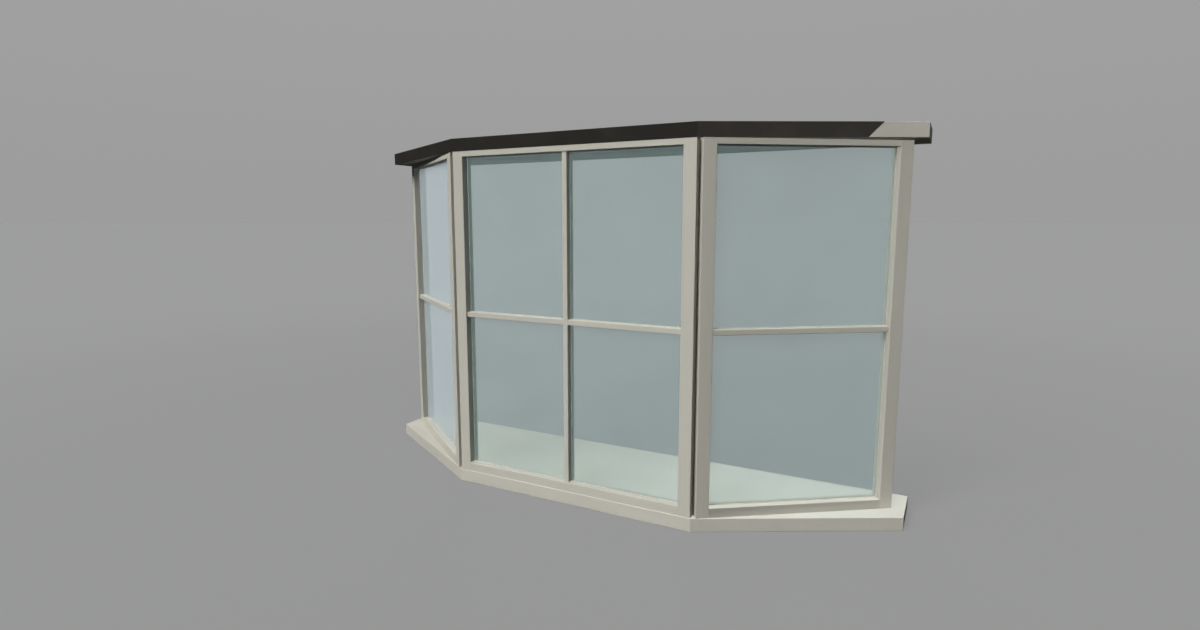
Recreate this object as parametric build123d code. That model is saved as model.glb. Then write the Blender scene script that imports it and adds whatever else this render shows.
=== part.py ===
from build123d import *
import math
import os

# Three-sided canted bay window, millimetres, +Z up.
# The street side faces -Y and the building wall is at +Y.
# The origin is the middle of the underside of the seat board's box.

# ---- driving dimensions ----------------------------------------------------
panel_height = 1500.0      # frames, between the two boards
centre_width = 1170.0      # centre panel, over its stiles
side_width = 840.0         # each canted panel, over its stiles
cant_angle = 35.0          # turn from the centre panel to a canted panel, degrees

frame_depth = 76.0
stile_width = 54.0
head_rail_height = 24.0
bottom_rail_height = 40.0
bar_width = 23.0           # glazing bars, seen from the front
bar_setback = 8.0          # bars stand this far behind the frame's faces
pane_thickness = 12.0      # slim double-glazed unit
rebate = 8.0               # how far the glazing rebate goes into the timber
edge_play = 1.0            # gap at the sides and top of a pane in its rebate
arris = 2.0                # rounding of the exposed timber edges
bead_round = 5.0           # rounding of the glazing bead on the room side

board_thickness = 58.0
board_length = 2696.0      # overall, along the wall
board_end_depth = 240.0    # square end of a board, out from the wall
board_depth = 657.0        # from the wall to the front edge
board_nib = 2.0            # the front edge runs this far past the centre panel
board_proud = 3.0          # the boards stand this far before the centre panel

fascia_thickness = 2.0     # metal strip on the head board's edge
fascia_cover = 669.0       # length of the right strip, at half its height

# ---- worked-out places -----------------------------------------------------
front_y = -board_depth / 2
wall_y = board_depth / 2
panel_z = board_thickness
head_z = board_thickness + panel_height
half_depth = frame_depth / 2
centre_line_y = front_y + board_proud + half_depth
corner_x = centre_width / 2
mitre = half_depth * math.tan(math.radians(cant_angle / 2))
bar_front = bar_setback - half_depth
bar_back = half_depth - bar_setback
glass_front = -pane_thickness / 2
glass_back = pane_thickness / 2
low_sight = bottom_rail_height
high_sight = panel_height - head_rail_height
bar_z = (low_sight + high_sight) / 2

centre_place = Location((0, centre_line_y, panel_z))
right_place = Location((corner_x, centre_line_y, panel_z), (0, 0, cant_angle))

os.makedirs("parts", exist_ok=True)


def save(name, solid):
    solid.label = name
    export_step(solid, f"parts/{name}.step")


def profile(points, rounded=()):
    """Closed outline in the XY plane; the listed corners are rounded."""
    face = make_face(Polyline(*points, close=True))
    corners = [face.vertices().sort_by_distance((*points[i], 0))[0] for i in rounded]
    return fillet(corners, arris) if corners else face


def block(x0, x1, y0, y1, z0, z1):
    centre = Pos((x0 + x1) / 2, (y0 + y1) / 2, (z0 + z1) / 2)
    return centre * Box(x1 - x0, y1 - y0, z1 - z0)


def along_x(x0, x1, outline, rounded):
    """Solid with one (y, z) section from x0 to x1."""
    return extrude(Plane.YZ.offset(x0) * profile(outline, rounded), x1 - x0)


# ---- the pieces of a panel, in the panel's own frame ------------------------
# x runs along the panel, y = 0 is the middle of its depth, z = 0 its foot.
# Every piece has a rebate, open to the room, that takes a pane and its bead.


def upright(points, rounded, rebate_x0, rebate_x1):
    """A stile: full height, with a stopped rebate on the glass side."""
    solid = extrude(profile(points, rounded), panel_height)
    z_low = low_sight - rebate
    z_high = high_sight + rebate
    return solid - block(rebate_x0, rebate_x1, glass_front, half_depth, z_low, z_high)


def corner_stile():
    """Stile with its outer face on x = 0; the back half is mitred to its neighbour."""
    outline = [
        (0, -half_depth),
        (stile_width, -half_depth),
        (stile_width, half_depth),
        (mitre, half_depth),
        (0, 0),
    ]
    return upright(outline, (0, 1), stile_width - rebate, stile_width)


def wall_stile(x_end):
    """Square stile at the wall side; its outer face is on x_end."""
    x_in = x_end - stile_width
    outline = [(x_in, -half_depth), (x_end, -half_depth), (x_end, half_depth), (x_in, half_depth)]
    return upright(outline, (0, 1, 2), x_in, x_in + rebate)


def head_rail(x0, x1):
    outline = [
        (-half_depth, high_sight),
        (glass_front, high_sight),
        (glass_front, high_sight + rebate),
        (half_depth, high_sight + rebate),
        (half_depth, panel_height),
        (-half_depth, panel_height),
    ]
    return along_x(x0, x1, outline, (0,))


def bottom_rail(x0, x1):
    outline = [
        (-half_depth, 0),
        (half_depth, 0),
        (half_depth, low_sight - rebate),
        (glass_front, low_sight - rebate),
        (glass_front, low_sight),
        (-half_depth, low_sight),
    ]
    return along_x(x0, x1, outline, (5,))


def bar_section(middle):
    """T-shaped glazing bar about the level middle: a nose and a web behind it."""
    half = bar_width / 2
    nose = [
        (bar_front, middle - half),
        (glass_front, middle - half),
        (glass_front, middle + half),
        (bar_front, middle + half),
    ]
    web = [
        (glass_front, middle - half + rebate),
        (bar_back, middle - half + rebate),
        (bar_back, middle + half - rebate),
        (glass_front, middle + half - rebate),
    ]
    return nose, web


def cross_bar(x0, x1):
    """Horizontal bar; its web runs on into the rebates at both ends."""
    nose, web = bar_section(bar_z)
    return along_x(x0, x1, nose, (0, 3)) + along_x(x0 - rebate, x1 + rebate, web, ())


def upright_bar():
    """Vertical bar in the middle of the centre panel, the same section on end."""
    nose, web = bar_section(0)
    lying = along_x(low_sight, high_sight, nose, (0, 3))
    lying += along_x(low_sight - rebate, high_sight + rebate, web, ())
    return Rot(0, -90, 0) * lying


def pane(x0, x1, z0, z1):
    """Glass for the sight size x0..x1, z0..z1; it stands on its rebate."""
    reach = rebate - edge_play
    return block(x0 - reach, x1 + reach, glass_front, glass_back, z0 - rebate, z1 + reach)


def bead(x0, x1, z0, z1):
    """Mitred glazing bead round one pane, on the room side of the glass."""
    outer = block(x0 - rebate, x1 + rebate, glass_back, bar_back, z0 - rebate, z1 + rebate)
    ring = outer - block(x0, x1, glass_back, bar_back, z0, z1)
    back_edges = ring.edges().filter_by_position(Axis.Y, bar_back - 0.1, bar_back + 0.1)
    inner_edges = [
        edge
        for edge in back_edges
        if x0 - 1 < edge.center().X < x1 + 1 and z0 - 1 < edge.center().Z < z1 + 1
    ]
    return fillet(inner_edges, bead_round)


def light_rows():
    """Sight heights of the lower and the upper lights."""
    return {
        "lower": (low_sight, bar_z - bar_width / 2),
        "upper": (bar_z + bar_width / 2, high_sight),
    }


# ---- the panels -------------------------------------------------------------


def make_centre_panel():
    x_in = corner_x - stile_width
    half_bar = bar_width / 2
    left_stile = centre_place * Pos(-corner_x, 0, 0) * corner_stile()
    save("centre_left_stile", left_stile)
    save("centre_right_stile", mirror(left_stile, about=Plane.YZ))
    save("centre_head_rail", centre_place * head_rail(-x_in, x_in))
    save("centre_bottom_rail", centre_place * bottom_rail(-x_in, x_in))
    save("centre_upright_bar", centre_place * upright_bar())
    for side, x0, x1 in (("left", -x_in, -half_bar), ("right", half_bar, x_in)):
        save(f"centre_{side}_cross_bar", centre_place * cross_bar(x0, x1))
        for row, (z0, z1) in light_rows().items():
            save(f"centre_{side}_{row}_pane", centre_place * pane(x0, x1, z0, z1))
            save(f"centre_{side}_{row}_bead", centre_place * bead(x0, x1, z0, z1))


def make_canted_panels():
    x0 = stile_width
    x1 = side_width - stile_width
    pieces = {
        "corner_stile": corner_stile(),
        "wall_stile": wall_stile(side_width),
        "head_rail": head_rail(x0, x1),
        "bottom_rail": bottom_rail(x0, x1),
        "cross_bar": cross_bar(x0, x1),
    }
    for row, (z0, z1) in light_rows().items():
        pieces[f"{row}_pane"] = pane(x0, x1, z0, z1)
        pieces[f"{row}_bead"] = bead(x0, x1, z0, z1)
    for name, piece in pieces.items():
        solid = right_place * piece
        save(f"right_{name}", solid)
        save(f"left_{name}", mirror(solid, about=Plane.YZ))


# ---- the boards -------------------------------------------------------------

nib_x = corner_x + board_nib
end_x = board_length / 2
end_y = wall_y - board_end_depth
canted_length = math.hypot(end_x - nib_x, end_y - front_y)
canted_angle = math.degrees(math.atan2(end_y - front_y, end_x - nib_x))


def board_outline(inset=0.0):
    """Outline seen from above; the front and canted edges can be set back."""
    turn = math.radians(canted_angle)
    end_front = end_y + inset / math.cos(turn)
    nib_front = front_y + inset
    nib = end_x - (end_front - nib_front) / math.tan(turn)
    return [
        (-end_x, wall_y),
        (-end_x, end_front),
        (-nib, nib_front),
        (nib, nib_front),
        (end_x, end_front),
        (end_x, wall_y),
    ]


def board(inset):
    """A full board with its three outer edges and its ends rounded."""
    solid = extrude(make_face(Polyline(*board_outline(inset), close=True)), board_thickness)
    level_edges = solid.edges().filter_by(Axis.Z, reverse=True)
    exposed = [edge for edge in level_edges if edge.center().Y < wall_y - 1]
    return fillet(exposed, arris)


def make_boards():
    save("seat_board", board(0))
    save("head_board", Pos(0, 0, head_z) * board(fascia_thickness))


# ---- the fascia strips ------------------------------------------------------


def strip(i, j):
    """Strip on one edge of the head board, mitred to the next at both ends."""
    outer = board_outline()
    inner = board_outline(fascia_thickness)
    outline = [outer[i], outer[j], inner[j], inner[i]]
    return Pos(0, 0, head_z) * extrude(make_face(Polyline(*outline, close=True)), board_thickness)


def cut_to_length(solid):
    """Trim the right strip with a slope of 45 degrees, longer at the top."""
    start = Location((nib_x, front_y, head_z), (0, 0, canted_angle))
    low = fascia_cover - board_thickness / 2
    high = fascia_cover + board_thickness / 2
    waste = [(low, 0), (canted_length + 10, 0), (canted_length + 10, board_thickness), (high, board_thickness)]
    face = Plane.XZ * make_face(Polyline(*waste, close=True))
    return solid - start * extrude(face, 10, both=True)


def make_fascia():
    save("head_fascia_left", strip(1, 2))
    save("head_fascia_centre", strip(2, 3))
    save("head_fascia_right", cut_to_length(strip(3, 4)))


make_boards()
make_fascia()
make_centre_panel()
make_canted_panels()
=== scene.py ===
"""Three-sided canted bay window: finishes, glazing seals, studio light and camera.

Everything is in metres in the CAD pieces' own frame: the street side faces -Y, the wall is at +Y
and Z is up.
"""

import math

import bmesh
import bpy
from mathutils import Matrix, Vector


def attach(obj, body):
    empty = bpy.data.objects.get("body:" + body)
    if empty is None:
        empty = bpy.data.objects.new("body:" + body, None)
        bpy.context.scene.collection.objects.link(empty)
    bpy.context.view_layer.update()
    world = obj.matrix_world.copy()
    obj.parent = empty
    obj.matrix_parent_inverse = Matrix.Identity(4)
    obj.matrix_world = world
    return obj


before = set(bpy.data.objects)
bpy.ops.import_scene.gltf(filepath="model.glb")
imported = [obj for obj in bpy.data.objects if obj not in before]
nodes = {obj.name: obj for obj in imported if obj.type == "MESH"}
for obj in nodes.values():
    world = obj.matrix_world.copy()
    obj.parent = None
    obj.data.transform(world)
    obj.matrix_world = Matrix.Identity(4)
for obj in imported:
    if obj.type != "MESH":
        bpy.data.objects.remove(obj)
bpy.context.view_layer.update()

# ---- sizes ------------------------------------------------------------------
CANT = math.radians(35)          # turn of a side panel from the centre panel
PANE_SIDE = 0.007                # how far a pane runs into its rebate at the sides and the top
PANE_FOOT = 0.008                # how far it does at its foot
SEAL_FACE = 0.0022               # how much of a seal shows beside the timber
SEAL_DEPTH = 0.0016              # how far it stands before the glass
SEAL_CHAMFER = 0.0006            # bevel of its nose

# marks in the paint: length along the timber, width across it
GRAIN_SIZE = (0.55, 0.011)
BRUSH_SIZE = (0.12, 0.0016)
COATS_SIZE = (0.9, 0.09)

# ---- colours as they look on screen, 0 to 255 -------------------------------
PAINT = (178, 175, 164)
# paler paint: worn coats, and a painted highlight on the edges
PAINT_WORN_AND_HIGHLIT = (188, 185, 174)
# darker paint: random soiling, and painted shade in corners
PAINT_DIRT_AND_SHADE = (150, 145, 134)
PAINT_UNDERSIDE_SHADE = (128, 124, 114)    # painted shade on faces that look down
# painted shade: the dark strips along the head board's front edge, and a dustier tone of them
FASCIA_PAINTED_SHADE = (41, 39, 36)
FASCIA_PAINTED_SHADE_DUST = (60, 57, 52)
SEAL = (180, 178, 170)
SEAL_BLOOM = (192, 190, 182)
GLASS_TINT = (230, 234, 233)
HAZE = (190, 224, 224)           # thin film on the glass
HAZE_THIN = (180, 214, 214)
HAZE_GRAZING = (175, 183, 187)   # the film seen along the glass
BACKDROP_NEAR = (149, 149, 149)  # floor round the object
BACKDROP_FAR = (157, 157, 157)   # far floor and foot of the backdrop
BACKDROP_TOP = (163, 163, 163)
SKY_LEFT = (214, 217, 225)       # pale sky that the panes mirror on the left
SKY_RIGHT = (196, 226, 232)

# ---- glass ------------------------------------------------------------------
HAZE_SHARE = 0.1                 # how much the film covers, seen square on
HAZE_MORE = 0.55                 # what a grazing view adds to that
LAMPLIGHT_THROUGH = (0.95, 0.96, 0.95, 1)      # what a pane lets by of the lamps

# ---- floor, backdrop and mirrored sky ---------------------------------------
FLOOR_SIZE = 600
FLOOR_GLOW = 0.80                # the floor's own glow, where it is seen
FLOOR_SHADE = (0.06, 0.06, 0.06, 1)       # what it takes from the lamps, where it is seen
FLOOR_BOUNCE = (0.03, 0.03, 0.03, 1)      # what it gives back to the object
BLACK = (0, 0, 0, 1)
NEAR_ENDS = 1.5                  # distances between which the floor's colour changes
FAR_STARTS = 9
BACKDROP_HEIGHTS = (0.0, 0.45)   # sines of the heights between which the backdrop changes
FILL_HEIGHTS = (0.1, 0.9)        # the same for the fill
FILL_SIDE = (0.09, 0.097, 0.098, 1)       # the world's weak light from the sides
FILL_TOP = (0.09, 0.11, 0.14, 1)          # and from above
SKY_LEFT_ENDS = (-0.85, 0.0)     # sideways part of the directions between which it fades
SKY_LEFT_LEAST = 0.12            # share that is left of it straight ahead
SKY_RIGHT_ENDS = (0.2, 0.8)
SKY_RIGHT_MOST = 1.25

# ---- lamps: directions are where the light comes from, spreads in degrees ----
KEY = 4.40                       # strength of the key
KEY_SPREAD = 28
KEY_FROM = (-0.208, -0.677, 0.706)
KEY_LEFT_FROM = (-0.271, -0.631, 0.727)
KEY_FOOT_FROM = (-0.14, -0.455, 0.879)
FOOT_SHARE = 1.08                # the right bottom rail's key, as a share of the others
SHADOW_SHARE = 0.2               # share of the key that casts shadows where they have to be faint

# name, direction, strength, spread, the only pieces that it lights (none named: all)
SMALL_SUNS = [
    ("room_side_fill", (-0.5, 0.85, 0.16), 1.8, 30, []),
    ("right_end_light", (0.83, 0.55, 0.10), 0.2, 30, ["head_board", "right_wall_stile"]),
    ("seat_edge_light", (0.93, -0.37, 0.03), 0.26, 30, ["seat_board"]),
    ("left_rail_light", (-0.45, -0.80, 0.40), 3.3, 6, ["left_head_rail"]),
    ("fascia_light", (0.86, -0.5, 0.125), 2.4, 30, ["head_fascia_right"]),
]

SEAT_GLOW = 8.2                  # watts
SEAT_GLOW_SIZE = 0.8
SEAT_GLOW_COLOUR = (0.82, 0.92, 1.0)
SEAT_GLOW_PLACE = Vector((0.9, 0.25, 1.1))
SEAT_GLOW_AIM = Vector((0.85, 0.2, 0.058))

# ---- camera -----------------------------------------------------------------
CAMERA_PLACE = (1.472, -2.766, 1.2533)
CAMERA_TILT = 81.92              # degrees up from looking straight down
CAMERA_TURN = 28.007             # degrees to the left of looking at the wall
CAMERA_LENS = 20.14              # millimetres
CAMERA_SENSOR = 36


def linear(colour):
    """A screen colour as the linear RGBA that shaders take."""
    parts = [c / 255 for c in colour]
    return (*[c / 12.92 if c < 0.04045 else ((c + 0.055) / 1.055) ** 2.4 for c in parts], 1.0)


# ---- short words for node materials -----------------------------------------


def new_material(name):
    material = bpy.data.materials.new(name)
    material.use_nodes = True
    material.node_tree.nodes.clear()
    return material


def node(tree, kind, inputs=(), **settings):
    """Adds a node; inputs maps a socket's name or index to a value or to the socket that feeds it."""
    made = tree.nodes.new(kind)
    for key, value in settings.items():
        setattr(made, key, value)
    for key, value in dict(inputs).items():
        if isinstance(value, bpy.types.NodeSocket):
            tree.links.new(value, made.inputs[key])
        else:
            made.inputs[key].default_value = value
    return made


def output(tree, shader):
    node(tree, "ShaderNodeOutputMaterial", {"Surface": shader.outputs[0]})


def maths(tree, operation, a, b=0.0, c=0.0):
    return node(tree, "ShaderNodeMath", {0: a, 1: b, 2: c}, operation=operation).outputs[0]


def ranged(tree, value, low, high, to_low=0.0, to_high=1.0):
    """value from low..high to to_low..to_high, held at both ends and eased between."""
    inputs = {"Value": value, "From Min": low, "From Max": high, "To Min": to_low, "To Max": to_high}
    return node(tree, "ShaderNodeMapRange", inputs, interpolation_type="SMOOTHSTEP").outputs[0]


def blended(tree, factor, a, b):
    """Colour a turned into b by factor."""
    return node(tree, "ShaderNodeMix", {0: factor, 6: a, 7: b}, data_type="RGBA").outputs[2]


def scaled(tree, colour, factor):
    """A colour times a number."""
    inputs = {0: colour[:3], "Scale": factor}
    return node(tree, "ShaderNodeVectorMath", inputs, operation="SCALE").outputs[0]


def object_place(tree):
    return node(tree, "ShaderNodeTexCoord").outputs["Object"]


def along(tree, angle, upright, length, width):
    """Object coordinates in a timber's own run: one unit is length along it and width across it."""
    size = (width, width, length) if upright else (length, width, width)
    inputs = {"Vector": object_place(tree), "Rotation": (0, 0, angle), "Scale": size}
    return node(tree, "ShaderNodeMapping", inputs, vector_type="TEXTURE").outputs[0]


def noise(tree, vector, scale=1.0, detail=2.0, distortion=0.0):
    inputs = {"Vector": vector, "Scale": scale, "Detail": detail, "Distortion": distortion}
    return node(tree, "ShaderNodeTexNoise", inputs).outputs["Fac"]


def bumped(tree, height, strength, distance):
    """Normals of a surface that height raises by up to distance."""
    inputs = {"Strength": strength, "Distance": distance, "Height": height}
    return node(tree, "ShaderNodeBump", inputs).outputs[0]


def edge_mask(tree, radius):
    """1 on sharp or tightly rounded edges, 0 on flats."""
    rounded = node(tree, "ShaderNodeBevel", {"Radius": radius}, samples=4).outputs[0]
    plain = node(tree, "ShaderNodeNewGeometry").outputs["Normal"]
    dot = node(tree, "ShaderNodeVectorMath", {0: rounded, 1: plain}, operation="DOT_PRODUCT")
    return ranged(tree, dot.outputs["Value"], 0.999, 0.9)


def corner_shade_mask(tree, distance):
    """1 deep in corners, 0 in the open: where the paint takes painted shade."""
    openness = node(tree, "ShaderNodeAmbientOcclusion", {"Distance": distance}, samples=6).outputs["AO"]
    return ranged(tree, openness, 0.75, 0.3)


def underside_mask(tree):
    """1 on faces that look down, 0 on all others."""
    facing = node(tree, "ShaderNodeTexCoord").outputs["Normal"]
    return ranged(tree, node(tree, "ShaderNodeSeparateXYZ", {0: facing}).outputs[2], -0.4, -0.9)


# ---- materials --------------------------------------------------------------


def paint(name, angle=0.0, upright=False):
    """Warm grey satin paint, brushed along a softwood member whose grain shows faintly through it."""
    material = new_material(name)
    tree = material.node_tree
    place = object_place(tree)
    grain = noise(tree, along(tree, angle, upright, *GRAIN_SIZE), detail=4, distortion=0.4)
    brush = noise(tree, along(tree, angle, upright, *BRUSH_SIZE), detail=2)
    coats = noise(tree, along(tree, angle, upright, *COATS_SIZE), detail=3)
    clouds = noise(tree, place, scale=2.6, detail=3)
    specks = noise(tree, place, scale=420, detail=1)

    def layer(colour, share, pigment):
        return blended(tree, share, colour, linear(pigment))

    def patchy(mask, low, high, least, most):
        """A mask that the clouds weaken in places, to between least and most of itself."""
        return maths(tree, "MULTIPLY", mask, ranged(tree, clouds, low, high, least, most))

    colour = layer(linear(PAINT), ranged(tree, clouds, 0.3, 0.7, 0, 0.12), PAINT_DIRT_AND_SHADE)
    colour = layer(colour, ranged(tree, coats, 0.35, 0.7, 0, 0.22), PAINT_WORN_AND_HIGHLIT)
    colour = layer(colour, ranged(tree, grain, 0.52, 0.72, 0, 0.10), PAINT_DIRT_AND_SHADE)
    # edges paler: wear, and a painted highlight along the arrises
    colour = layer(colour, patchy(edge_mask(tree, 0.003), 0.3, 0.65, 0.25, 0.6), PAINT_WORN_AND_HIGHLIT)
    # undersides darker: painted shade
    colour = layer(colour, patchy(underside_mask(tree), 0.3, 0.65, 0.75, 0.95), PAINT_UNDERSIDE_SHADE)
    # darker deep in corners: painted shade
    colour = layer(colour, patchy(corner_shade_mask(tree, 0.02), 0.35, 0.6, 0.15, 0.4), PAINT_DIRT_AND_SHADE)

    relief = maths(tree, "ADD", maths(tree, "MULTIPLY", grain, 0.6), maths(tree, "MULTIPLY", brush, 0.4))
    relief = maths(tree, "ADD", relief, maths(tree, "MULTIPLY", specks, 0.12))
    inputs = {
        "Base Color": colour,
        "Roughness": ranged(tree, maths(tree, "ADD", brush, clouds), 0.7, 1.3, 0.5, 0.64),
        "Normal": bumped(tree, relief, 0.35, 0.0006),
        "Specular IOR Level": 0.25,
    }
    output(tree, node(tree, "ShaderNodeBsdfPrincipled", inputs))
    return material


def bronze():
    """A dark coat that paints the shade along the head board's front edge, with a fine orange peel and a
    little dust.
    """
    material = new_material("bronze_powder_coat")
    tree = material.node_tree
    peel = noise(tree, object_place(tree), scale=520, detail=1)
    dust = noise(tree, object_place(tree), scale=9, detail=4)
    rubbed = maths(tree, "MULTIPLY", edge_mask(tree, 0.0015), 0.5)
    dusty = ranged(tree, dust, 0.45, 0.75, 0, 0.25)
    colour = blended(tree, dusty, linear(FASCIA_PAINTED_SHADE), linear(FASCIA_PAINTED_SHADE_DUST))
    inputs = {
        "Base Color": blended(tree, rubbed, colour, linear(FASCIA_PAINTED_SHADE_DUST)),
        "Roughness": ranged(tree, dust, 0.3, 0.7, 0.7, 0.82),
        "Normal": bumped(tree, peel, 0.3, 0.0003),
        "Specular IOR Level": 0.04,
    }
    output(tree, node(tree, "ShaderNodeBsdfPrincipled", inputs))
    return material


def clear_glass(tree):
    """Smooth, very slightly wavy glass."""
    waves = noise(tree, object_place(tree), scale=3.5, detail=1)
    inputs = {
        "Base Color": linear(GLASS_TINT),
        "Roughness": 0.0,
        "IOR": 1.45,
        "Transmission Weight": 1.0,
        "Normal": bumped(tree, waves, 0.02, 0.002),
    }
    return node(tree, "ShaderNodeBsdfPrincipled", inputs)


def glass_haze(tree, grazing):
    """The pale film of dust and wear on the glass."""
    film = noise(tree, object_place(tree), scale=6, detail=3)
    tone = blended(tree, ranged(tree, film, 0.35, 0.7), linear(HAZE), linear(HAZE_THIN))
    tone = blended(tree, grazing, tone, linear(HAZE_GRAZING))
    inputs = {"Base Color": tone, "Roughness": 0.9, "Specular IOR Level": 0.0}
    return node(tree, "ShaderNodeBsdfPrincipled", inputs)


def glass():
    """Neutral glass behind a thin pale haze; lamps shine through it."""
    material = new_material("pane_glass")
    tree = material.node_tree
    facing = node(tree, "ShaderNodeLayerWeight", {"Blend": 0.5}).outputs["Facing"]
    grazing = ranged(tree, facing, 0.45, 0.85)
    clear = clear_glass(tree)
    haze = glass_haze(tree, grazing)
    share = maths(tree, "MULTIPLY_ADD", grazing, HAZE_MORE, HAZE_SHARE)
    hazy = node(tree, "ShaderNodeMixShader", {0: share, 1: clear.outputs[0], 2: haze.outputs[0]})
    through = node(tree, "ShaderNodeBsdfTransparent", {"Color": LAMPLIGHT_THROUGH})
    shadow_ray = node(tree, "ShaderNodeLightPath").outputs["Is Shadow Ray"]
    mixed = {0: shadow_ray, 1: hazy.outputs[0], 2: through.outputs[0]}
    output(tree, node(tree, "ShaderNodeMixShader", mixed))
    return material


def rubber():
    """Matt grey glazing seal with a chalky bloom."""
    material = new_material("glazing_seal")
    tree = material.node_tree
    bloom = noise(tree, object_place(tree), scale=60, detail=3)
    inputs = {
        "Base Color": blended(tree, ranged(tree, bloom, 0.4, 0.7), linear(SEAL), linear(SEAL_BLOOM)),
        "Roughness": ranged(tree, bloom, 0.3, 0.7, 0.6, 0.8),
        "Normal": bumped(tree, bloom, 0.2, 0.0002),
    }
    output(tree, node(tree, "ShaderNodeBsdfPrincipled", inputs))
    return material


def dress_cad_pieces():
    """Gives every CAD node its finish; timber gets the paint that runs its own way."""
    upright = paint("paint_upright", upright=True)
    level = {
        "centre": paint("paint_level_centre"),
        "left": paint("paint_level_left", angle=-CANT),
        "right": paint("paint_level_right", angle=CANT),
    }
    boards = paint("paint_boards")
    clear = glass()
    shade_strip = bronze()
    for name, piece in nodes.items():
        if name.endswith("_pane"):
            finish = clear
        # the fascia strips carry painted shade
        elif "fascia" in name:
            finish = shade_strip
        elif name in ("seat_board", "head_board"):
            finish = boards
        elif name.endswith(("_stile", "_upright_bar")):
            finish = upright
        else:
            finish = level[name.split("_")[0]]
        piece.data.materials.clear()
        piece.data.materials.append(finish)


# ---- glazing seals ----------------------------------------------------------


def panel_axes(panel):
    """The panel's own axes in the row frame: X along it and Y through it, both level."""
    turn = {"left": -CANT, "centre": 0.0, "right": CANT}[panel]
    return Matrix.Rotation(turn, 4, "Z")


def sight_edges(name, axes):
    """Where the rebates leave a pane open to view, from its own size: x0, x1, z0, z1, and its face y."""
    inverse = axes.inverted()
    points = [inverse @ v.co for v in nodes[name].data.vertices]
    low = Vector(min(p[i] for p in points) for i in range(3))
    high = Vector(max(p[i] for p in points) for i in range(3))
    return low.x + PANE_SIDE, high.x - PANE_SIDE, low.z + PANE_FOOT, high.z - PANE_SIDE, low.y


def seal_ring(name, x0, x1, z0, z1, y, axes, material):
    """A thin mitred strip on the face of the glass, with a chamfered nose, round one pane."""
    section = [
        (0.0, 0.0),
        (0.0, -SEAL_DEPTH),
        (SEAL_FACE - SEAL_CHAMFER, -SEAL_DEPTH),
        (SEAL_FACE, -SEAL_DEPTH + SEAL_CHAMFER),
        (SEAL_FACE, 0.0),
    ]
    corners = [(x0, z0, 1, 1), (x1, z0, -1, 1), (x1, z1, -1, -1), (x0, z1, 1, -1)]
    shape = bmesh.new()
    rings = []
    for x, z, inward_x, inward_z in corners:
        points = [Vector((x + inward_x * i, y + d, z + inward_z * i)) for i, d in section]
        rings.append([shape.verts.new(axes @ point) for point in points])
    count = len(section)
    for a, b in zip(rings, rings[1:] + rings[:1]):
        for k in range(count):
            shape.faces.new((a[k], b[k], b[(k + 1) % count], a[(k + 1) % count]))
    bmesh.ops.recalc_face_normals(shape, faces=shape.faces)
    mesh = bpy.data.meshes.new(name)
    shape.to_mesh(mesh)
    shape.free()
    mesh.materials.append(material)
    piece = bpy.data.objects.new(name, mesh)
    bpy.context.scene.collection.objects.link(piece)
    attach(piece, "root")


def add_seals():
    material = rubber()
    for name in sorted(nodes):
        if name.endswith("_pane"):
            axes = panel_axes(name.split("_")[0])
            seal_ring(name.replace("_pane", "_seal"), *sight_edges(name, axes), axes, material)


# ---- studio -----------------------------------------------------------------


def ray_kinds(tree):
    """Factors that tell what a ray is for: seen directly or through glass, and mirrored in glass."""
    rays = node(tree, "ShaderNodeLightPath")
    seen = maths(tree, "MAXIMUM", rays.outputs["Is Camera Ray"], rays.outputs["Is Transmission Ray"])
    mirrored = maths(tree, "SUBTRACT", rays.outputs["Is Singular Ray"], seen)
    return seen, maths(tree, "MAXIMUM", mirrored, 0.0)


def mirrored_sky(tree, direction):
    """The pale sky that lies that way: bright to the left (-X) and the right, dim ahead."""
    level = node(tree, "ShaderNodeVectorMath", {0: direction}, operation="NORMALIZE").outputs[0]
    sideways = node(tree, "ShaderNodeSeparateXYZ", {0: level}).outputs[0]
    left_share = ranged(tree, sideways, *SKY_LEFT_ENDS, 1.0, SKY_LEFT_LEAST)
    right_share = ranged(tree, sideways, *SKY_RIGHT_ENDS, 0.0, SKY_RIGHT_MOST)
    left = scaled(tree, linear(SKY_LEFT), left_share)
    right = scaled(tree, linear(SKY_RIGHT), right_share)
    return node(tree, "ShaderNodeVectorMath", {0: left, 1: right}, operation="ADD").outputs[0]


def make_floor():
    """A plain grey floor: mostly self-lit where it is seen, so the object's shadow on it stays weak."""
    bpy.ops.mesh.primitive_plane_add(size=FLOOR_SIZE)
    floor = bpy.context.object
    floor.name = "studio_floor"
    material = new_material("studio_floor")
    tree = material.node_tree
    seen, mirrored = ray_kinds(tree)
    place = object_place(tree)
    distance = node(tree, "ShaderNodeVectorMath", {0: place}, operation="LENGTH").outputs["Value"]
    far = ranged(tree, distance, NEAR_ENDS, FAR_STARTS)
    own = blended(tree, far, linear(BACKDROP_NEAR), linear(BACKDROP_FAR))
    shade_colour = blended(tree, seen, FLOOR_BOUNCE, FLOOR_SHADE)
    shade_colour = blended(tree, mirrored, shade_colour, BLACK)
    shade = node(tree, "ShaderNodeBsdfDiffuse", {"Color": shade_colour})
    glow_colour = blended(tree, mirrored, own, mirrored_sky(tree, place))
    strength = maths(tree, "ADD", maths(tree, "MULTIPLY", seen, FLOOR_GLOW), mirrored)
    glow = node(tree, "ShaderNodeEmission", {"Color": glow_colour, "Strength": strength})
    output(tree, node(tree, "ShaderNodeAddShader", {0: shade.outputs[0], 1: glow.outputs[0]}))
    material.cycles.emission_sampling = "NONE"    # the glow is only seen and lights nothing
    floor.data.materials.append(material)


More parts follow.
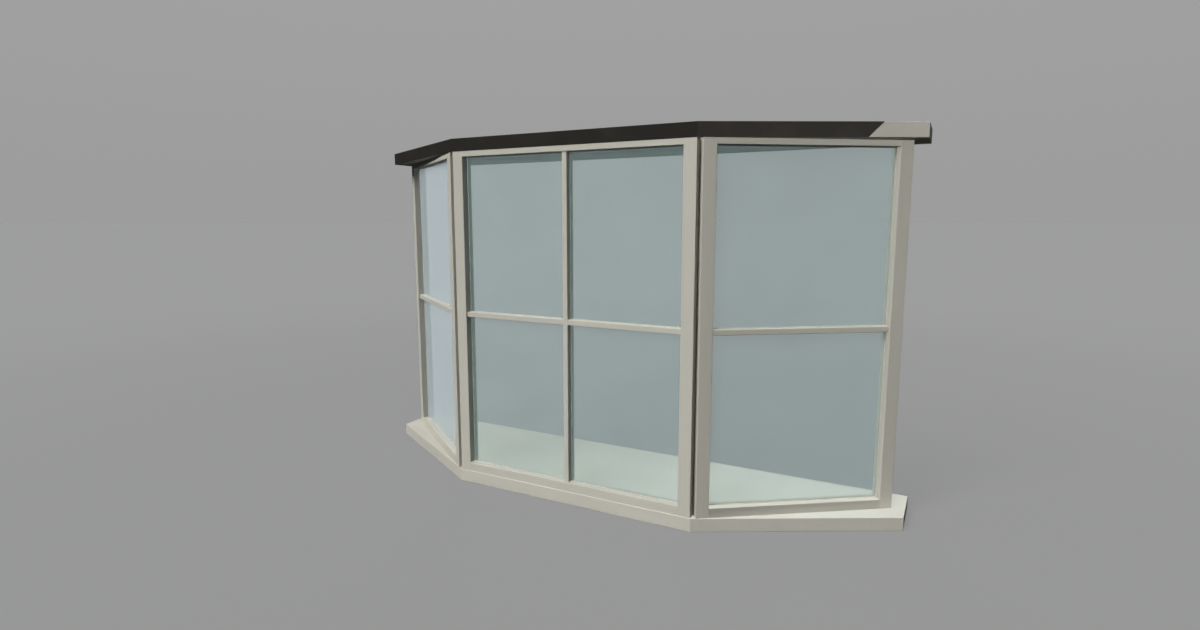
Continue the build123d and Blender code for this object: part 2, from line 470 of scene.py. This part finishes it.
def make_world():
    """Soft even fill for the object, plain grey behind it and a pale sky in its reflections."""
    world = bpy.data.worlds.new("studio")
    bpy.context.scene.world = world
    world.use_nodes = True
    tree = world.node_tree
    tree.nodes.clear()
    seen, mirrored = ray_kinds(tree)
    direction = node(tree, "ShaderNodeTexCoord").outputs["Generated"]
    height = node(tree, "ShaderNodeSeparateXYZ", {0: direction}).outputs[2]
    high = ranged(tree, height, *BACKDROP_HEIGHTS)
    behind = blended(tree, high, linear(BACKDROP_FAR), linear(BACKDROP_TOP))
    fill = blended(tree, ranged(tree, height, *FILL_HEIGHTS), FILL_SIDE, FILL_TOP)
    unseen = blended(tree, mirrored, fill, mirrored_sky(tree, direction))
    colour = blended(tree, seen, unseen, behind)
    light = node(tree, "ShaderNodeBackground", {"Color": colour, "Strength": 1.0})
    node(tree, "ShaderNodeOutputWorld", {"Surface": light.outputs[0]})


def group(name, members, state):
    """A set of CAD pieces for a lamp's light linking, all included or all excluded."""
    made = bpy.data.collections.new(name)
    for member in members:
        made.objects.link(nodes[member])
    for entry in made.collection_objects:
        entry.light_linking.link_state = state
    return made


def hang_lamp(lamp, direction, place=(0, 0, 0), lights=(), state="INCLUDE", passes=()):
    """Puts a lamp in the scene; it lights, or leaves out, some pieces and passes through others."""
    holder = bpy.data.objects.new(lamp.name, lamp)
    holder.location = place
    holder.rotation_euler = Vector(direction).to_track_quat("Z", "Y").to_euler()
    holder.visible_glossy = False
    holder.visible_transmission = False    # the panes let lamps by on their own
    bpy.context.scene.collection.objects.link(holder)
    if lights:
        holder.light_linking.receiver_collection = group(lamp.name + "_pieces", lights, state)
    if passes:
        holder.light_linking.blocker_collection = group(lamp.name + "_passes", passes, "EXCLUDE")


def sun(name, strength, spread):
    """A broad far lamp."""
    lamp = bpy.data.lights.new(name, "SUN")
    lamp.energy = strength
    lamp.angle = math.radians(spread)
    return lamp


def make_keys():
    """A broad key from the upper left, in parts that light different pieces.

    So the head board doesn't darken the centre and right frames, and the timbers leave only faint
    shadows on the seat board, the rails, the bars, the beads and the panes. The left frame and the
    right bottom rail have a part with its own direction.
    """
    panes = [name for name in nodes if name.endswith("_pane")]
    timbers = [name for name in nodes if name not in panes]
    left = [name for name in timbers if name.startswith("left_")]
    top = [name for name in nodes if name.startswith("head_")]
    foot = ["right_bottom_rail"]
    slender = [name for name in timbers if name.endswith(("_rail", "_bar", "_bead"))]
    faint = panes + ["seat_board", "right_wall_stile"]
    faint += [name for name in slender if name not in left + foot]
    left_rest = [name for name in left if name != "left_head_rail"]
    parts = [
        ("key", KEY_FROM, 1.0, left + faint + foot, "EXCLUDE", top),
        ("key_left_frame", KEY_LEFT_FROM, 1.0, left_rest, "INCLUDE", []),
        ("key_shadowed", KEY_FROM, SHADOW_SHARE, faint, "INCLUDE", top),
        ("key_open", KEY_FROM, 1 - SHADOW_SHARE, faint, "INCLUDE", timbers),
        ("key_right_foot", KEY_FOOT_FROM, FOOT_SHARE, foot, "INCLUDE", timbers),
    ]
    for name, direction, share, lights, state, passes in parts:
        lamp = sun(name, KEY * share, KEY_SPREAD)
        hang_lamp(lamp, direction, lights=lights, state=state, passes=passes)


def make_small_suns():
    """A weak fill on the room side, and lifts for single pieces."""
    for name, direction, strength, spread, lights in SMALL_SUNS:
        hang_lamp(sun(name, strength, spread), direction, lights=lights)


def make_seat_glow():
    """A cool soft disc above the seat board's right end, which lights that board alone."""
    lamp = bpy.data.lights.new("seat_glow", "AREA")
    lamp.shape = "DISK"
    lamp.size = SEAT_GLOW_SIZE
    lamp.energy = SEAT_GLOW
    lamp.color = SEAT_GLOW_COLOUR
    direction = SEAT_GLOW_PLACE - SEAT_GLOW_AIM
    hang_lamp(lamp, direction, SEAT_GLOW_PLACE, lights=["seat_board"], passes=list(nodes))


def make_camera():
    lens = bpy.data.cameras.new("camera")
    lens.lens = CAMERA_LENS
    lens.sensor_width = CAMERA_SENSOR
    camera = bpy.data.objects.new("camera", lens)
    camera.location = CAMERA_PLACE
    camera.rotation_euler = (math.radians(CAMERA_TILT), 0, math.radians(CAMERA_TURN))
    bpy.context.scene.collection.objects.link(camera)
    bpy.context.scene.camera = camera


dress_cad_pieces()
add_seals()
make_floor()
make_world()
make_keys()
make_small_suns()
make_seat_glow()
make_camera()
bpy.context.scene.view_settings.view_transform = "Standard"
bpy.context.scene.cycles.use_light_tree = False    # it treats linked lamps differently from run to run
